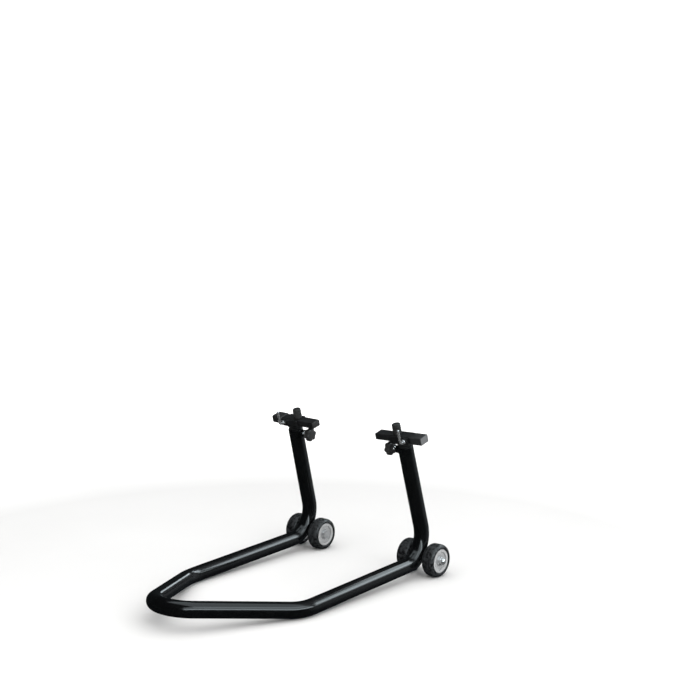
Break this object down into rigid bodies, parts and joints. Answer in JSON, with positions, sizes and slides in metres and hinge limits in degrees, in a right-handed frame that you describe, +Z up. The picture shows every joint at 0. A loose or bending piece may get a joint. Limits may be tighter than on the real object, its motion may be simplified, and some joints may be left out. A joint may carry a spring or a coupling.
{
  "type": "paddock stand",
  "caption": "Black tubular front paddock stand: bent V-handled frame on small wheels behind each foot, with adjustable rubber-padded lifting heads.",
  "frame": {"origin": "on the floor, under the middle of the stand's bounding box", "axes": "+Z up, -Y towards the handle's nose, X across the stand"},
  "size_m": [0.4744, 0.6856, 0.3576],
  "materials": {
    "black_paint": "gloss",
    "satin_black": "satin",
    "zinc": "zinc plated",
    "bright_zinc": "bright plated",
    "bronze": "sintered",
    "grey_plastic": "moulded",
    "grey_cap": "moulded",
    "black_plastic": "moulded",
    "rubber": "moulded rubber",
    "tyre": "moulded rubber"
  },
  "bodies": {
    "frame": {"frame_tube": "black_paint", "axle_sleeve_right": "black_paint", "clamp_nut_right": "black_paint", "axle_bolt_right": "zinc", "axle_dome_nut_right": "bright_zinc", "axle_washers_right": "zinc", "axle_sleeve_left": "black_paint", "clamp_nut_left": "black_paint", "axle_bolt_left": "zinc", "axle_dome_nut_left": "bright_zinc", "axle_washers_left": "zinc"},
    "head_right": {"head_stem_right": "satin_black", "head_saddle_right": "satin_black"},
    "arm_right": {"lift_arm_right": "satin_black", "arm_end_cap_right": "grey_cap", "arm_end_plug_right": "black_plastic", "pad_post_right": "zinc", "fork_pad_right": "rubber"},
    "arm_lock_right": {"arm_clamp_right": "bright_zinc"},
    "height_lock_right": {"height_screw_right": "bright_zinc", "height_knob_right": "black_plastic"},
    "wheel_right_outer": {"tyre_right_outer": "tyre", "hub_right_outer": "grey_plastic", "bush_right_outer": "bronze"},
    "wheel_right_inner": {"tyre_right_inner": "tyre", "hub_right_inner": "grey_plastic", "bush_right_inner": "bronze"},
    "head_left": {"head_stem_left": "satin_black", "head_saddle_left": "satin_black"},
    "arm_left": {"lift_arm_left": "satin_black", "arm_end_cap_left": "grey_cap", "arm_end_plug_left": "black_plastic", "pad_post_left": "zinc", "fork_pad_left": "rubber"},
    "arm_lock_left": {"arm_clamp_left": "bright_zinc"},
    "height_lock_left": {"height_screw_left": "bright_zinc", "height_knob_left": "black_plastic"},
    "wheel_left_outer": {"tyre_left_outer": "tyre", "hub_left_outer": "grey_plastic", "bush_left_outer": "bronze"},
    "wheel_left_inner": {"tyre_left_inner": "tyre", "hub_left_inner": "grey_plastic", "bush_left_inner": "bronze"}
  },
  "joints": [
    {"name": "wheel_right_outer_spin", "type": "hinge", "parent": "frame", "child": "wheel_right_outer", "pos_m": [0.2115, 0.3053, 0.0375], "axis": [1, 0, 0], "continuous": true},
    {"name": "wheel_right_inner_spin", "type": "hinge", "parent": "frame", "child": "wheel_right_inner", "pos_m": [0.1385, 0.3053, 0.0375], "axis": [1, 0, 0], "continuous": true},
    {"name": "head_right_height", "type": "slide", "parent": "frame", "child": "head_right", "axis": [-0.0253, -0.2588, 0.9656], "range_m": [-0.006, 0.034]},
    {"name": "arm_right_width", "type": "slide", "parent": "head_right", "child": "arm_right", "axis": [0.9997, 0, 0.0262], "range_m": [0, 0.025]},
    {"name": "arm_lock_right_turn", "type": "hinge", "parent": "head_right", "child": "arm_lock_right", "pos_m": [0.18351, 0.22288, 0.32037], "axis": [-0.0068, 0.9659, 0.2587], "range_deg": [-90, 90]},
    {"name": "height_lock_right_turn", "type": "hinge", "parent": "frame", "child": "height_lock_right", "pos_m": [0.13019, 0.25008, 0.29396], "axis": [0.9997, 0, 0.0262], "range_deg": [-180, 180]},
    {"name": "wheel_left_outer_spin", "type": "hinge", "parent": "frame", "child": "wheel_left_outer", "pos_m": [-0.2115, 0.3053, 0.0375], "axis": [1, 0, 0], "continuous": true},
    {"name": "wheel_left_inner_spin", "type": "hinge", "parent": "frame", "child": "wheel_left_inner", "pos_m": [-0.1385, 0.3053, 0.0375], "axis": [1, 0, 0], "continuous": true},
    {"name": "head_left_height", "type": "slide", "parent": "frame", "child": "head_left", "axis": [0.0253, -0.2588, 0.9656], "range_m": [-0.006, 0.034]},
    {"name": "arm_left_width", "type": "slide", "parent": "head_left", "child": "arm_left", "axis": [-0.9997, 0, 0.0262], "range_m": [0, 0.025]},
    {"name": "arm_lock_left_turn", "type": "hinge", "parent": "head_left", "child": "arm_lock_left", "pos_m": [-0.18351, 0.22288, 0.32037], "axis": [0.0068, 0.9659, 0.2587], "range_deg": [-90, 90]},
    {"name": "height_lock_left_turn", "type": "hinge", "parent": "frame", "child": "height_lock_left", "pos_m": [-0.13019, 0.25008, 0.29396], "axis": [-0.9997, 0, 0.0262], "range_deg": [-180, 180]}
  ]
}
